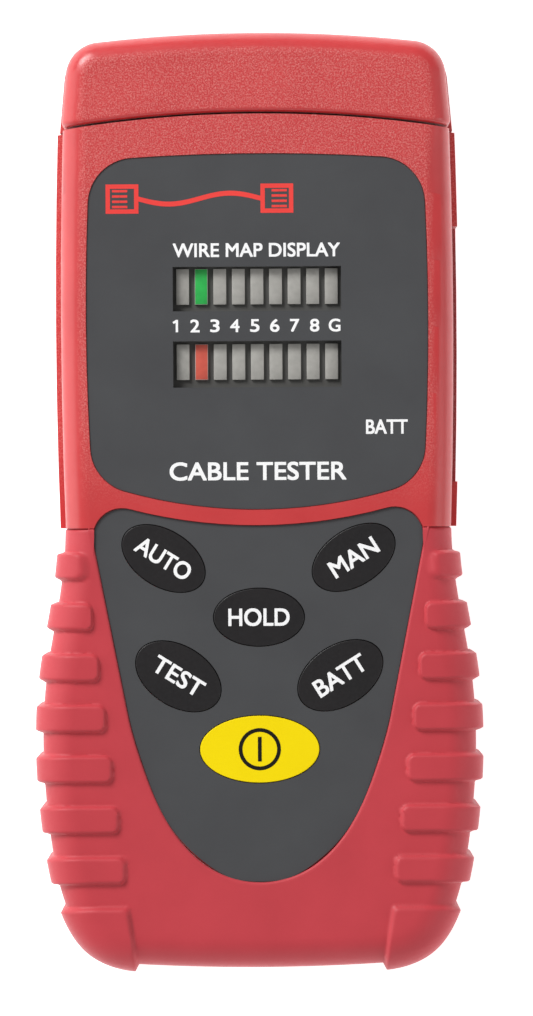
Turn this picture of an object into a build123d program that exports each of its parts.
from build123d import *

import os
from math import cos, radians, sin

# Hand-held network cable tester with a remote unit that pulls off its top end.
# It lies on its back: +Z comes out of the face, +Y points to the remote unit, and the
# origin is under the middle of the case. All sizes are in millimetres.

# ---------------------------------------------------------------- driving dimensions
HALF_LENGTH = 80.0
DEPTH = 40.0
RIB_PROUD = 0.8
FACE_Z = DEPTH - RIB_PROUD  # hard face and plain boot face
PARTING_Z = 18.0
WALL = 2.2
BOOT_WALL = 2.0
BOOT_BACK = 1.6
SHOULDER = 4.2
REMOTE_SHOULDER = 3.6
BACK_EDGE = 2.4
REAR_EXTRA = 1.3  # the rear shell stands this far outside the front shell
REMOTE_EXTRA = 0.6  # the same on the remote unit

WAIST_Y = -4.5  # edge of the boot across the case
WAIST_HALF = 33.0
# right flank of the boot: x, y and the direction it faces, in degrees
FLANK = (
    (WAIST_HALF, WAIST_Y, 0),
    (33.9, -15.2, 6),
    (36.3, -29.5, 6),
    (37.0, -41.0, 0),
    (35.8, -57.5, -8),
    (33.2, -69.2, -25),
    (28.6, -76.4, -60),
    (20.5, -79.1, -87),
)
OVERLAP_Y = 4.0  # the core under the boot runs this far past the origin into the upper case
SEAM_MID_Y = 66.4  # lower edge of the remote unit, an arc
SEAM_END_Y = 63.8
SEAM_GAP = 0.35

# right side of the keypad from its straight part's foot: x, y and the direction it faces
KEYPAD_SIDE = (
    (22.5, -36.0, -11),
    (19.9, -45.3, -20),
    (14.4, -56.9, -37),
    (7.0, -63.4, -66),
    (0, -65.0, -90),
)
LABEL_RECESS = 0.6
FILM = 0.4
FILM_GAP = 0.12  # round the edge of each film
KEY_SEAT_Z = FACE_Z - 0.8

WINDOW_HALF = 14.35
WINDOWS = {"upper": (32.4, 40.0), "lower": (19.4, 27.3)}
BARS = {"upper": 36.6, "lower": 23.75}
BAR_COUNT = 9
BAR_PITCH = 3.17
BAR_SIZE = (2.2, 6.1)
HOLDER_TOP = 36.9
BAR_TOP = HOLDER_TOP + 0.6

BOARD_BOTTOM = 27.0
BOARD_TOP = BOARD_BOTTOM + 1.6
LED_SIZE = (1.25, 2.0, 1.1)
BAR_LOW_Z = BOARD_TOP + LED_SIZE[2] + 0.3

# name: centre x, centre y, half length, half height, tilt in degrees
KEYS = {
    "auto": (-16.2, -9.7, 7.75, 4.75, -32),
    "manual": (16.2, -9.7, 7.75, 4.75, 32),
    "hold": (0.0, -19.8, 7.7, 4.9, 0),
    "test": (-13.8, -29.8, 7.9, 5.1, -32),
    "battery": (13.8, -29.8, 7.9, 5.1, 32),
    "power": (0.0, -42.3, 10.15, 5.7, 0),
}
KEY_GAP = 0.15
KEY_TOP = KEY_SEAT_Z + FILM + 0.15
KEY_CEILING = 36.0
KEY_FLANGE = 0.8
KEY_FLANGE_THICK = 1.0
SWITCH_SIZE = 6.0
SWITCH_HEIGHT = 3.2
STEM_RADIUS = 1.6

RIB_COUNT = 7
RIB_FIRST_Y = -11.0
RIB_PITCH = 8.65
RIB_HEIGHT = 4.95
RIB_INNER = 29.3
RIB_INNER_STEP = 1.07
RIB_REACH = (34.4, 36.1, 37.4, 38.0, 38.2, 37.5, 36.3)

CASE_SCREWS = ((-26.5, 54.0), (26.5, 54.0), (-24.0, -70.5), (24.0, -70.5))
CASE_BOSS = 3.9
CASE_SEAT_Z = 5.4
CASE_SCREW_HEAD = 2.8
CASE_SCREW_SHANK = 1.4
BOARD_SCREWS = ((-25.0, 44.0), (25.0, 44.0), (-25.0, -2.0), (25.0, -2.0))

DOCK_HALF = 14.6  # socket in the top end of the case for the remote unit's tongue
DOCK_FLOOR_Y = 57.2
DOCK_Z = (8.6, 31.4)
TONGUE_GAP = 0.35
TONGUE_HALF = DOCK_HALF - TONGUE_GAP
TONGUE_Z = (DOCK_Z[0] + TONGUE_GAP, DOCK_Z[1] - TONGUE_GAP)
TONGUE_Y = DOCK_FLOOR_Y + 0.4
TONGUE_WALL = 1.4
REMOTE_BACK = 0.5
REMOTE_WALL = 2.0
SEAM_LIP = 0.9  # rounding of the front half along the seam
REMOTE_SCREWS = ((-26.0, 72.0), (26.0, 72.0))

PORT_CENTRES = (14.0, 36.5)
PORT_Z = 10.4
BAY_Y = (3.2, 47.3)
BAY_Z = (3.0, 17.8)
BEZEL_FACE_X = 33.4
JACK_FACE_X = 31.4
JACK_WIDTH = 15.8
JACK_TALL = 13.2
JACK_DEPTH = 16.0
MOUTH_WIDTH = 11.8
MOUTH_TALL = 8.0
REMOTE_JACK_Z = 20.0
REMOTE_JACK_DEPTH = 14.0
PORT_LOW_Z = REMOTE_JACK_Z - JACK_TALL / 2 - 0.1
PORT_HIGH_Z = REMOTE_JACK_Z + JACK_TALL / 2 + 0.1
JACK_BACK = 3.0  # what stands behind the mouth

POCKET_HALF = 14.2
POCKET_Y = (-68.0, -14.4)
POCKET_TOP = 21.2
BATTERY_SIZE = (26.5, 46.4, 17.5)
BATTERY_LOW_Y = -64.7
BATTERY_LOW_Z = 3.3

DOOR_HALF = 16.5
DOOR_Y = (-68.3, -4.0)
DOOR_Z = (0.6, 2.4)
DOOR_GAP = 0.3
DOOR_EDGE = 0.6
DOOR_SCREW_Y = -9.6
HOOK_CENTRES = (-10.0, 10.0)
HOOK_WIDTH = 6.0

os.makedirs("parts", exist_ok=True)


def save(builder, name):
    builder.part.label = name
    export_step(builder.part, f"parts/{name}.step")


def block(low, high, mode=Mode.ADD):
    """A box from its lowest to its highest corner, for use inside a part."""
    size = [b - a for a, b in zip(low, high)]
    with Locations(tuple(low)):
        Box(*size, align=(Align.MIN, Align.MIN, Align.MIN), mode=mode)


def post(x, y, z0, z1, radius, mode=Mode.ADD):
    """An upright round post or hole, for use inside a part."""
    with Locations((x, y, z0)):
        Cylinder(radius, z1 - z0, align=(Align.CENTER, Align.CENTER, Align.MIN), mode=mode)


def rise(outline, height, mode=Mode.ADD):
    """The outline pushed straight up by that height, for use inside a part."""
    extrude(outline, amount=height, dir=(0, 0, 1), mode=mode)


# ---------------------------------------------------------------- outlines seen from the front
def moved_in(x, y, facing, inset):
    """A point of an outline that faces that way, in degrees, moved into the outline."""
    return x - inset * cos(radians(facing)), y - inset * sin(radians(facing))


def upper_outline(z, widen=0.0, inset=0.0):
    """Case above the waist, closed by the seam arc at the top."""
    x_seam, x_mid, x_waist = (base + widen - inset for base in (33.0, 33.5, 32.9))
    y_end = SEAM_END_Y - SEAM_GAP - inset
    y_waist = WAIST_Y + inset
    with BuildSketch(Plane.XY.offset(z)) as sketch:
        with BuildLine():
            Line((-x_waist, y_waist), (x_waist, y_waist))
            ThreePointArc((x_waist, y_waist), (x_mid, 36.0), (x_seam, y_end))
            ThreePointArc((x_seam, y_end), (0, SEAM_MID_Y - SEAM_GAP - inset), (-x_seam, y_end))
            ThreePointArc((-x_seam, y_end), (-x_mid, 36.0), (-x_waist, y_waist))
        make_face()
    return sketch.sketch


def lower_outline(z, inset=0.0):
    """Boot outline, wide at the hand and rounded at the bottom end."""
    flank = [moved_in(*point, inset) for point in FLANK]
    corner_x, corner_y = flank[-1]
    with BuildSketch(Plane.XY.offset(z)) as sketch:
        with BuildLine():
            Line((0, OVERLAP_Y), (flank[0][0], OVERLAP_Y))
            Line((flank[0][0], OVERLAP_Y), flank[0])
            Spline(*flank, tangents=((0, -1), (-1, -0.05)))
            ThreePointArc(flank[-1], (corner_x / 2, corner_y - 0.45), (0, corner_y - 0.6))
            mirror(about=Plane.YZ)
        make_face()
    return sketch.sketch


def remote_outline(z, widen=0.0, inset=0.0):
    """Remote unit: crowned top end, round corners, seam arc below."""
    x_top, x_seam = 32.0 + widen - inset, 33.3 + widen - inset
    y_top, y_seam = 77.9 - inset, SEAM_END_Y + inset
    with BuildSketch(Plane.XY.offset(z)) as sketch:
        with BuildLine():
            ThreePointArc((-x_seam, y_seam), (0, SEAM_MID_Y + inset), (x_seam, y_seam))
            Line((x_seam, y_seam), (x_top, y_top))
            ThreePointArc((x_top, y_top), (0, HALF_LENGTH - inset), (-x_top, y_top))
            Line((-x_top, y_top), (-x_seam, y_seam))
        make_face()
        fillet(sketch.vertices().group_by(Axis.Y)[-1], radius=6.0 - inset)
    return sketch.sketch


def label_outline(z, inset=0.0):
    """Display label: crowned top, bowed sides, hanging bottom edge."""
    x_top, x_mid, x_low = (base - inset for base in (28.4, 29.2, 28.3))
    y_top, y_low = 58.1 - inset, 3.5 + inset
    with BuildSketch(Plane.XY.offset(z)) as sketch:
        with BuildLine():
            ThreePointArc((-x_low, y_low), (0, -1.5 + inset), (x_low, y_low))
            ThreePointArc((x_low, y_low), (x_mid, 32.0), (x_top, y_top))
            ThreePointArc((x_top, y_top), (0, 59.3 - inset), (-x_top, y_top))
            ThreePointArc((-x_top, y_top), (-x_mid, 32.0), (-x_low, y_low))
        make_face()
        fillet(sketch.vertices(), radius=8.0 - inset)
    return sketch.sketch


def keypad_outline(z, inset=0.0):
    """Keypad film: dished top edge, straight tapering sides, pointed round bottom."""
    side = [moved_in(*point, inset) for point in KEYPAD_SIDE]
    dish_y = -4.1 - inset
    corner = (29.8 - 1.2 * inset, 1.27 - inset)
    with BuildSketch(Plane.XY.offset(z)) as sketch:
        with BuildLine():
            ThreePointArc(corner, (15.0, dish_y + 1.33), (0, dish_y))
            Line(corner, side[0])
            Spline(*side, tangents=((-0.19, -0.98), (-1, 0)))
            mirror(about=Plane.YZ)
        make_face()
        fillet(sketch.vertices().group_by(Axis.Y)[-1], radius=5.0)
    return sketch.sketch


def key_oval(z, key, grow=0.0):
    x, y, half_length, half_height, tilt = KEYS[key]
    with BuildSketch(Plane.XY.offset(z)) as sketch:
        with Locations((x, y)):
            Ellipse(half_length + grow, half_height + grow, rotation=tilt)
    return sketch.sketch


def side_edges(builder, z, beyond):
    """Edges in the level plane z whose middle lies beyond that distance from the Y axis."""
    level = builder.edges().filter_by_position(Axis.Z, z - 0.01, z + 0.01)
    return level.filter_by(lambda edge: abs((edge @ 0.5).X) > beyond)


def boot_block(builder, z0, z1, inset, low_radius, high_radius):
    """The lower body's block with rounded long edges, for use inside that part."""
    rise(lower_outline(z0, inset), z1 - z0)
    for z, radius in ((z1, high_radius), (z0, low_radius)):
        if radius:
            level = builder.edges().filter_by_position(Axis.Z, z - 0.01, z + 0.01)
            fillet(level.filter_by(lambda edge: (edge @ 0.5).Y < OVERLAP_Y - 0.5), radius)


# ---------------------------------------------------------------- hard core inside the boot
with BuildPart() as front_core:
    boot_block(front_core, PARTING_Z, FACE_Z - 1.8, BOOT_WALL, 0, 3.0)

with BuildPart() as rear_core:
    boot_block(rear_core, BOOT_BACK, PARTING_Z, BOOT_WALL, BACK_EDGE, 0)

# ---------------------------------------------------------------- front shell
with BuildPart() as front_shell:
    rise(upper_outline(PARTING_Z), FACE_Z - PARTING_Z)
    fillet(side_edges(front_shell, FACE_Z, 30), SHOULDER)
    add(front_core.part)
    rise(keypad_outline(FACE_Z - 4), KEY_SEAT_Z - FACE_Z + 4)
    rise(keypad_outline(KEY_SEAT_Z), 5, Mode.SUBTRACT)
    # hollow inside
    rise(upper_outline(PARTING_Z, inset=WALL), HOLDER_TOP + 0.1 - PARTING_Z, Mode.SUBTRACT)
    rise(lower_outline(PARTING_Z, BOOT_WALL + WALL), 17.2, Mode.SUBTRACT)
    rise(keypad_outline(PARTING_Z, 1.6), KEY_CEILING - PARTING_Z, Mode.SUBTRACT)
    # dock for the remote unit's tongue
    block((-DOCK_HALF - 1.6, DOCK_FLOOR_Y - 1.6, PARTING_Z), (DOCK_HALF + 1.6, 64.4, 33.0))
    block((-DOCK_HALF, DOCK_FLOOR_Y, PARTING_Z), (DOCK_HALF, 70, DOCK_Z[1]), Mode.SUBTRACT)
    # recess for the label, windows and key holes
    rise(label_outline(FACE_Z - LABEL_RECESS), 5, Mode.SUBTRACT)
    for low_y, high_y in WINDOWS.values():
        block((-WINDOW_HALF, low_y, 30), (WINDOW_HALF, high_y, 50), Mode.SUBTRACT)
    for key in KEYS:
        rise(key_oval(30, key, KEY_GAP), 20, Mode.SUBTRACT)
        rise(key_oval(30, key, KEY_FLANGE + 0.4), KEY_CEILING - 30, Mode.SUBTRACT)
    # screw bosses and board posts
    for x, y in CASE_SCREWS:
        post(x, y, PARTING_Z, HOLDER_TOP + 0.3 if y > 0 else 35.5, CASE_BOSS)
        post(x, y, PARTING_Z, 30.0, CASE_SCREW_SHANK + 0.03, Mode.SUBTRACT)
    for x, y in BOARD_SCREWS:
        post(x, y, BOARD_TOP, HOLDER_TOP + 0.3 if y > 0 else 36.2, 2.6)
        post(x, y, BOARD_TOP, 34.0, 1.03, Mode.SUBTRACT)
save(front_shell, "front_shell")

# ---------------------------------------------------------------- rear shell
with BuildPart() as rear_shell:
    rise(upper_outline(0, REAR_EXTRA), PARTING_Z)
    fillet(side_edges(rear_shell, 0, 30), BACK_EDGE)
    add(rear_core.part)
    block((-22, -70, 0), (22, OVERLAP_Y, BOOT_BACK + 1))
    rise(upper_outline(WALL, inset=WALL), PARTING_Z, Mode.SUBTRACT)
    rise(lower_outline(BOOT_BACK + WALL, BOOT_WALL + WALL), PARTING_Z, Mode.SUBTRACT)
    # battery compartment
    block((-16.0, -69.6, WALL), (16.0, -12.8, POCKET_TOP + 1.5))
    # socket for the tongue
    block((-DOCK_HALF - 1.6, DOCK_FLOOR_Y - 1.6, DOCK_Z[0] - 1.6), (DOCK_HALF + 1.6, 64.4, PARTING_Z))
    block((-DOCK_HALF, DOCK_FLOOR_Y, DOCK_Z[0]), (DOCK_HALF, 70, PARTING_Z + 1), Mode.SUBTRACT)
    # bosses
    post(0, DOOR_SCREW_Y, WALL, 10.6, 4.6)
    for x, y in CASE_SCREWS:
        post(x, y, 1.7, PARTING_Z, CASE_BOSS)
    # openings of the battery compartment, its door and the hooks
    block((-POCKET_HALF, POCKET_Y[0], -1), (POCKET_HALF, POCKET_Y[1], POCKET_TOP), Mode.SUBTRACT)
    block((-DOOR_HALF - DOOR_GAP, DOOR_Y[0] - DOOR_GAP, -1),
          (DOOR_HALF + DOOR_GAP, DOOR_Y[1] + DOOR_GAP, 2.6), Mode.SUBTRACT)
    for x in HOOK_CENTRES:
        half = HOOK_WIDTH / 2 + 0.5
        block((x - half, -72.0, 2.6), (x + half, POCKET_Y[0] + 2, 5.8), Mode.SUBTRACT)
    post(0, DOOR_SCREW_Y, 0, 4.3, 4.6, Mode.SUBTRACT)
    post(0, DOOR_SCREW_Y, 4.3, 9.3, 2.6, Mode.SUBTRACT)
    for x, y in CASE_SCREWS:
        post(x, y, -1, CASE_SEAT_Z, CASE_SCREW_HEAD + 0.3, Mode.SUBTRACT)
        post(x, y, 3, PARTING_Z, CASE_SCREW_SHANK + 0.2, Mode.SUBTRACT)
    # side bay for the ports
    block((29.0, BAY_Y[0], BAY_Z[0]), (36.0, BAY_Y[1], PARTING_Z + 1), Mode.SUBTRACT)
    # hole for the battery leads
    block((-5.5, -15, 12.0), (5.5, -12, 16.0), Mode.SUBTRACT)
save(rear_shell, "rear_shell")

# ---------------------------------------------------------------- rubber boot over the lower half
def grip_rib(i):
    """One rib of the right flank, rounded over the shoulder."""
    rib_y = RIB_FIRST_Y - RIB_PITCH * i
    inner = RIB_INNER - RIB_INNER_STEP * i
    with BuildPart() as rib:
        block((inner, rib_y - RIB_HEIGHT / 2, 1.0), (RIB_REACH[i], rib_y + RIB_HEIGHT / 2, DEPTH))
        outer_edges = rib.edges().filter_by(Axis.Y).group_by(Axis.X)[-1].sort_by(Axis.Z)
        fillet(outer_edges[-1], min(5.8, RIB_REACH[i] - inner - 1.0))
        fillet(outer_edges[0], 2.5)
    return rib.part


def corner_bumper():
    """The thick corner at the bottom end, right side."""
    with BuildPart() as bumper:
        with BuildSketch(Plane.XY.offset(1.0)):
            with BuildLine():
                Line((21.2, -HALF_LENGTH), (22.0, -69.2))
                Line((22.0, -69.2), (34.9, -69.2))
                ThreePointArc((34.9, -69.2), (31.0, -75.5), (21.2, -HALF_LENGTH))
            make_face()
        extrude(amount=DEPTH - 1.0, dir=(0, 0, 1))
        fillet(bumper.edges().group_by(Axis.Z)[-1], 1.2)
    return bumper.part


with BuildPart() as rubber_boot:
    boot_block(rubber_boot, 0, FACE_Z, 0, 3.5, 5.5)
    for piece in [grip_rib(i) for i in range(RIB_COUNT)] + [corner_bumper()]:
        add(piece)
        add(piece.mirror(Plane.YZ))
    block((-60, WAIST_Y, -5), (60, 60, 60), Mode.SUBTRACT)
    add(front_core.part, mode=Mode.SUBTRACT)
    add(rear_core.part, mode=Mode.SUBTRACT)
    rise(keypad_outline(30), 20, Mode.SUBTRACT)
    block((-22, -70, -1), (22, OVERLAP_Y, 5), Mode.SUBTRACT)
    for x, y in CASE_SCREWS:
        post(x, y, -1, 3, CASE_SCREW_HEAD + 0.5, Mode.SUBTRACT)
save(rubber_boot, "rubber_boot")

# ---------------------------------------------------------------- face: label, film, light bars
with BuildPart() as display_label:
    rise(label_outline(FACE_Z - LABEL_RECESS, FILM_GAP), FILM)
    for low_y, high_y in WINDOWS.values():
        block((-WINDOW_HALF, low_y, 30), (WINDOW_HALF, high_y, 50), Mode.SUBTRACT)
save(display_label, "display_label")

with BuildPart() as keypad_label:
    rise(keypad_outline(KEY_SEAT_Z, FILM_GAP), FILM)
    for key in KEYS:
        rise(key_oval(KEY_SEAT_Z - 1, key, KEY_GAP), 5, Mode.SUBTRACT)
save(keypad_label, "keypad_label")


def bar_row(centre_y, low_z, high_z, width, height, mode=Mode.ADD):
    """Nine upright bars in a row, for use inside a part."""
    with Locations((0, centre_y, low_z)):
        with GridLocations(BAR_PITCH, height, BAR_COUNT, 1):
            Box(width, height, high_z - low_z, align=(Align.CENTER, Align.CENTER, Align.MIN),
                mode=mode)


with BuildPart() as bar_holder:
    block((-16.0, 18.5, BOARD_TOP), (16.0, 41.2, HOLDER_TOP))
    for row_y in BARS.values():
        bar_row(row_y, BOARD_TOP - 1, HOLDER_TOP + 1, BAR_SIZE[0], BAR_SIZE[1], Mode.SUBTRACT)
save(bar_holder, "bar_holder")

for row_name, row_y in BARS.items():
    with BuildPart() as light_bars:
        bar_row(row_y, BAR_LOW_Z, BAR_TOP, BAR_SIZE[0], BAR_SIZE[1])
    save(light_bars, f"{row_name}_light_bars")

with BuildPart() as indicator_leds:
    for row_y in BARS.values():
        bar_row(row_y, BOARD_TOP, BOARD_TOP + LED_SIZE[2], LED_SIZE[0], LED_SIZE[1])
save(indicator_leds, "indicator_leds")

# ---------------------------------------------------------------- keys and their switches
for key, (x, y, *_) in KEYS.items():
    with BuildPart() as key_cap:
        flange_low = KEY_CEILING - 0.1 - KEY_FLANGE_THICK
        rise(key_oval(flange_low, key), KEY_TOP - flange_low)
        fillet(key_cap.edges().group_by(Axis.Z)[-1], 0.12)
        rise(key_oval(flange_low, key, KEY_FLANGE), KEY_FLANGE_THICK)
        post(x, y, BOARD_TOP + SWITCH_HEIGHT - 0.8, flange_low + 0.1, STEM_RADIUS)
    save(key_cap, f"key_{key}")

with BuildPart() as key_switches:
    for x, y, *_ in KEYS.values():
        half = SWITCH_SIZE / 2
        block((x - half, y - half, BOARD_TOP), (x + half, y + half, BOARD_TOP + SWITCH_HEIGHT))
        post(x, y, BOARD_TOP + SWITCH_HEIGHT - 1.6, BOARD_TOP + 9, STEM_RADIUS + 0.3, Mode.SUBTRACT)
save(key_switches, "key_switches")

# ---------------------------------------------------------------- circuit boards
with BuildPart() as main_board:
    block((-28.5, -61.0, BOARD_BOTTOM), (28.5, 48.5, BOARD_TOP))
    fillet(main_board.edges().filter_by(Axis.Z), 3.0)
    with BuildSketch(Plane.XY.offset(BOARD_BOTTOM)) as trimmed:
        with Locations((-28.5, -61.0), (28.5, -61.0)):
            Rectangle(16, 14)
    extrude(amount=5, both=True, mode=Mode.SUBTRACT)
    for x, y in BOARD_SCREWS:
        post(x, y, 20, 30, 1.2, Mode.SUBTRACT)
save(main_board, "main_board")

with BuildPart() as board_screws:
    for x, y in BOARD_SCREWS:
        post(x, y, BOARD_BOTTOM - 1.4, BOARD_BOTTOM, 1.9)
        post(x, y, BOARD_BOTTOM, 33.0, 1.0)
save(board_screws, "board_screws")

with BuildPart() as control_chips:
    block((-6, 2.0, BOARD_TOP), (6, 14.0, BOARD_TOP + 1.6))
    block((-19, 6.0, BOARD_TOP), (-13, 14.0, BOARD_TOP + 1.5))
save(control_chips, "control_chips")

with BuildPart() as jack_board:
    block((6.0, 4.5, 17.1), (30.4, 46.0, 18.7))
save(jack_board, "jack_board")

with BuildPart() as board_header:
    block((9.0, 16.0, 18.7), (11.5, 34.0, BOARD_BOTTOM))
save(board_header, "board_header")


# ---------------------------------------------------------------- modular jacks
def modular_jack(face, depth):
    """Jack body behind its mouth; face has z out of the mouth and y towards the board."""
    with BuildPart() as jack:
        with BuildSketch(face):
            Rectangle(JACK_WIDTH, JACK_TALL)
        extrude(amount=-depth)
        with BuildSketch(face):
            Rectangle(MOUTH_WIDTH, MOUTH_TALL)
            with Locations((0, -MOUTH_TALL / 2 - 0.8)):
                Rectangle(6.2, 1.8)
            with Locations((0, -MOUTH_TALL / 2 - 1.9)):
                Rectangle(3.2, 1.0)
        extrude(amount=-(depth - JACK_BACK), mode=Mode.SUBTRACT)
    return jack.part


def jack_contacts(face, depth):
    """Eight contact wires along the board side of the mouth."""
    with BuildPart() as wires:
        for i in range(8):
            x = (i - 3.5) * 1.02
            with BuildSketch(face.offset(-depth + JACK_BACK)):
                with Locations((x, MOUTH_TALL / 2 - 0.55)):
                    Rectangle(0.45, 0.5)
            extrude(amount=depth - 4.5)
    return wires.part


SIDE_PORTS = [Plane(origin=(JACK_FACE_X, y, PORT_Z), x_dir=(0, 1, 0), z_dir=(1, 0, 0))
              for y in PORT_CENTRES]
for port_name, face in zip(("lower", "upper"), SIDE_PORTS):
    with BuildPart() as side_jack:
        add(modular_jack(face, JACK_DEPTH))
    save(side_jack, f"{port_name}_port_jack")

with BuildPart() as port_contacts:
    for face in SIDE_PORTS:
        add(jack_contacts(face, JACK_DEPTH))
save(port_contacts, "port_contacts")

with BuildPart() as port_bezel:
    block((JACK_FACE_X, BAY_Y[0] + 0.2, BAY_Z[0] + 0.1), (BEZEL_FACE_X, BAY_Y[1] - 0.2, BAY_Z[1]))
    for face in SIDE_PORTS:
        with BuildSketch(face.offset(-1)):
            Rectangle(MOUTH_WIDTH + 0.4, MOUTH_TALL + 0.4)
            with Locations((0, -MOUTH_TALL / 2 - 1.0)):
                Rectangle(6.6, 2.6)
        extrude(amount=5, mode=Mode.SUBTRACT)
save(port_bezel, "port_bezel")

# ---------------------------------------------------------------- battery
with BuildPart() as battery:
    width, length, thick = BATTERY_SIZE
    battery_top_y = BATTERY_LOW_Y + length
    block((-width / 2, BATTERY_LOW_Y, BATTERY_LOW_Z),
          (width / 2, battery_top_y, BATTERY_LOW_Z + thick))
    fillet(battery.edges().filter_by(Axis.Y), 2.0)
    terminal_z = BATTERY_LOW_Z + thick / 2
    for x, radius in ((-6.35, 2.9), (6.35, 3.9)):
        with BuildSketch(Plane(origin=(x, battery_top_y, terminal_z), z_dir=(0, 1, 0))):
            Circle(radius)
        extrude(amount=2.1)
save(battery, "battery")

with BuildPart() as battery_snap:
    block((-12.8, battery_top_y + 0.2, terminal_z - 6), (12.8, battery_top_y + 3.4, terminal_z + 6))
    for x, radius in ((-6.35, 2.9), (6.35, 3.9)):
        with BuildSketch(Plane(origin=(x, battery_top_y, terminal_z), z_dir=(0, 1, 0))):
            Circle(radius + 0.1)
        extrude(amount=2.3, mode=Mode.SUBTRACT)
save(battery_snap, "battery_snap")

with BuildPart() as battery_leads:
    for x in (-3.5, 3.5):
        start = Vector(x, battery_top_y + 3.4, terminal_z + 1.9)
        with BuildLine():
            FilletPolyline(start, (x, -10.6, start.Z), (x, -10.6, BOARD_BOTTOM), radius=2.2)
        with BuildSketch(Plane(origin=start, z_dir=(0, 1, 0))):
            Circle(0.8)
        sweep()
save(battery_leads, "battery_leads")

# ---------------------------------------------------------------- battery door and its screw
with BuildPart() as battery_door:
    block((-DOOR_HALF, DOOR_Y[0], DOOR_Z[0]), (DOOR_HALF, DOOR_Y[1], DOOR_Z[1]))
    fillet(battery_door.edges().filter_by(Axis.Z).group_by(Axis.Y)[-1], 1.0)
    # rounded outer edge that the door tilts on
    foot_edge = battery_door.edges().filter_by(Axis.X).group_by(Axis.Y)[0].sort_by(Axis.Z)[0]
    fillet(foot_edge, DOOR_EDGE)
    post(0, DOOR_SCREW_Y, DOOR_Z[0], 4.0, 4.2)
    post(0, DOOR_SCREW_Y, -1, 2.6, 3.1, Mode.SUBTRACT)
    post(0, DOOR_SCREW_Y, 0, 5, 1.7, Mode.SUBTRACT)
    for x in HOOK_CENTRES:
        half = HOOK_WIDTH / 2
        block((x - half, DOOR_Y[0] + 0.1, DOOR_Z[0]), (x + half, DOOR_Y[0] + 1.1, 4.2))
        block((x - half, -70.9, 3.0), (x + half, DOOR_Y[0] + 1.1, 4.2))
    # grip grooves across the outer face
    for i in range(4):
        y = -18.0 - 2.4 * i
        block((-6, y - 0.5, 0), (6, y + 0.5, DOOR_Z[0] + 0.4), Mode.SUBTRACT)
save(battery_door, "battery_door")

with BuildPart() as door_screw:
    post(0, DOOR_SCREW_Y, 0.9, 2.5, 2.8)
    post(0, DOOR_SCREW_Y, 2.4, 6.9, 1.4)
    for size in ((4.0, 0.8), (0.8, 4.0)):
        with Locations((0, DOOR_SCREW_Y, 0.9)):
            Box(size[0], size[1], 1.6, mode=Mode.SUBTRACT)
save(door_screw, "door_screw")

with BuildPart() as door_insert:
    post(0, DOOR_SCREW_Y, 4.4, 9.3, 2.6)
    post(0, DOOR_SCREW_Y, 4, 10, 1.85, Mode.SUBTRACT)
save(door_insert, "door_insert")

# ---------------------------------------------------------------- case screws
with BuildPart() as case_screws:
    for x, y in CASE_SCREWS:
        post(x, y, CASE_SEAT_Z - 1.8, CASE_SEAT_Z, CASE_SCREW_HEAD)
        post(x, y, CASE_SEAT_Z - 0.1, 26.0, CASE_SCREW_SHANK)
        for size in ((4.0, 0.8), (0.8, 4.0)):
            with Locations((x, y, CASE_SEAT_Z - 1.8)):
                Box(size[0], size[1], 1.6, mode=Mode.SUBTRACT)
save(case_screws, "case_screws")

# ---------------------------------------------------------------- remote unit
def tongue(low_z, high_z, open_low):
    """Half of the hollow tongue with the slot for the jack, for use inside a part."""
    block((-TONGUE_HALF, TONGUE_Y, low_z), (TONGUE_HALF, 70.0, high_z))
    inner_low = low_z - 1 if open_low else low_z + TONGUE_WALL
    inner_high = high_z - TONGUE_WALL if open_low else high_z + 1
    half = TONGUE_HALF - TONGUE_WALL
    block((-half, TONGUE_Y + TONGUE_WALL, inner_low), (half, HALF_LENGTH - 3, inner_high),
          Mode.SUBTRACT)
    block((-JACK_WIDTH / 2 - 0.1, TONGUE_Y - 1, PORT_LOW_Z), (JACK_WIDTH / 2 + 0.1, 62, PORT_HIGH_Z),
          Mode.SUBTRACT)


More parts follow.
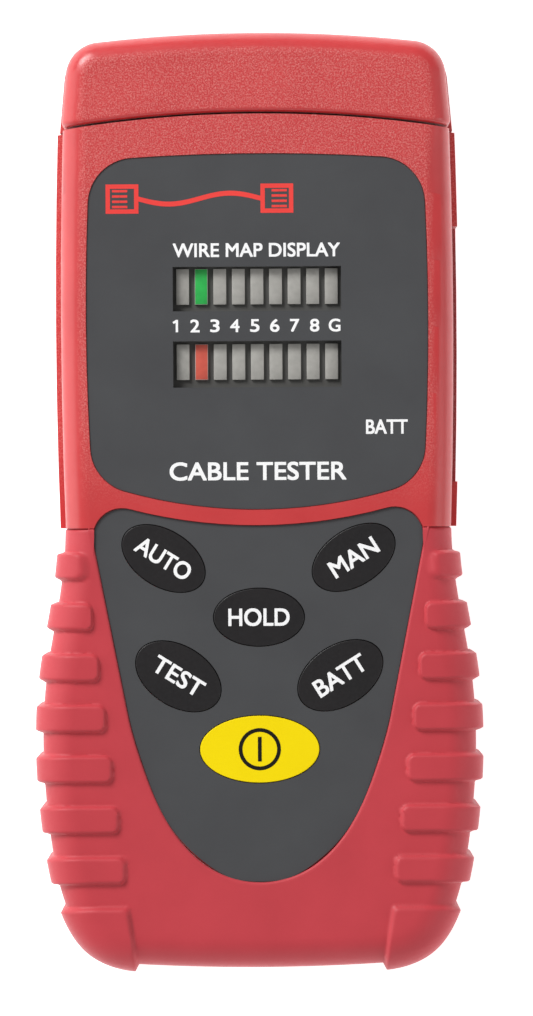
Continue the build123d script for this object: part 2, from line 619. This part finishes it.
with BuildPart() as remote_front_shell:
    rise(remote_outline(PARTING_Z), FACE_Z - PARTING_Z)
    top_edges = remote_front_shell.edges().group_by(Axis.Z)[-1]
    fillet(top_edges.filter_by(lambda edge: (edge @ 0.5).Y > 68 or abs((edge @ 0.5).X) > 25),
           REMOTE_SHOULDER)
    low_faces = remote_front_shell.faces().filter_by(lambda face: face.normal_at().Y < -0.9)
    seam_edges = low_faces.sort_by(Axis.Y)[0].edges()
    fillet(seam_edges.filter_by(lambda edge: (edge @ 0.5).Z > PARTING_Z + 0.1), SEAM_LIP)
    rise(remote_outline(PARTING_Z - 1, inset=REMOTE_WALL), FACE_Z - PARTING_Z - REMOTE_WALL + 1,
         Mode.SUBTRACT)
    tongue(PARTING_Z, TONGUE_Z[1], True)
    for x, y in REMOTE_SCREWS:
        post(x, y, PARTING_Z, FACE_Z - REMOTE_WALL + 0.2, 3.0)
        post(x, y, PARTING_Z - 1, 28.0, 1.13, Mode.SUBTRACT)
save(remote_front_shell, "remote_front_shell")

with BuildPart() as remote_rear_shell:
    rise(remote_outline(REMOTE_BACK, REMOTE_EXTRA), PARTING_Z - REMOTE_BACK)
    low_edges = remote_rear_shell.edges().group_by(Axis.Z)[0]
    fillet(low_edges.filter_by(lambda edge: (edge @ 0.5).Y > 68 or abs((edge @ 0.5).X) > 25), 2.2)
    rise(remote_outline(REMOTE_BACK + REMOTE_WALL, REMOTE_EXTRA, REMOTE_WALL), PARTING_Z,
         Mode.SUBTRACT)
    tongue(TONGUE_Z[0], PARTING_Z, False)
    for x, y in REMOTE_SCREWS:
        post(x, y, REMOTE_BACK + 0.5, PARTING_Z, 3.0)
        post(x, y, 0, 4.5, 2.3, Mode.SUBTRACT)
        post(x, y, 3, PARTING_Z + 1, 1.3, Mode.SUBTRACT)
save(remote_rear_shell, "remote_rear_shell")

REMOTE_PORT = Plane(origin=(0, TONGUE_Y, REMOTE_JACK_Z), x_dir=(1, 0, 0), z_dir=(0, -1, 0))
with BuildPart() as remote_jack:
    add(modular_jack(REMOTE_PORT, REMOTE_JACK_DEPTH))
save(remote_jack, "remote_jack")

with BuildPart() as remote_contacts:
    add(jack_contacts(REMOTE_PORT, REMOTE_JACK_DEPTH))
save(remote_contacts, "remote_contacts")

with BuildPart() as remote_board:
    block((-12.0, 60.0, REMOTE_JACK_Z + JACK_TALL / 2), (12.0, 76.5, REMOTE_JACK_Z + JACK_TALL / 2 + 1.6))
save(remote_board, "remote_board")

with BuildPart() as remote_screws:
    for x, y in REMOTE_SCREWS:
        post(x, y, 3.1, 4.5, 2.2)
        post(x, y, 4.4, 24.0, 1.1)
save(remote_screws, "remote_screws")
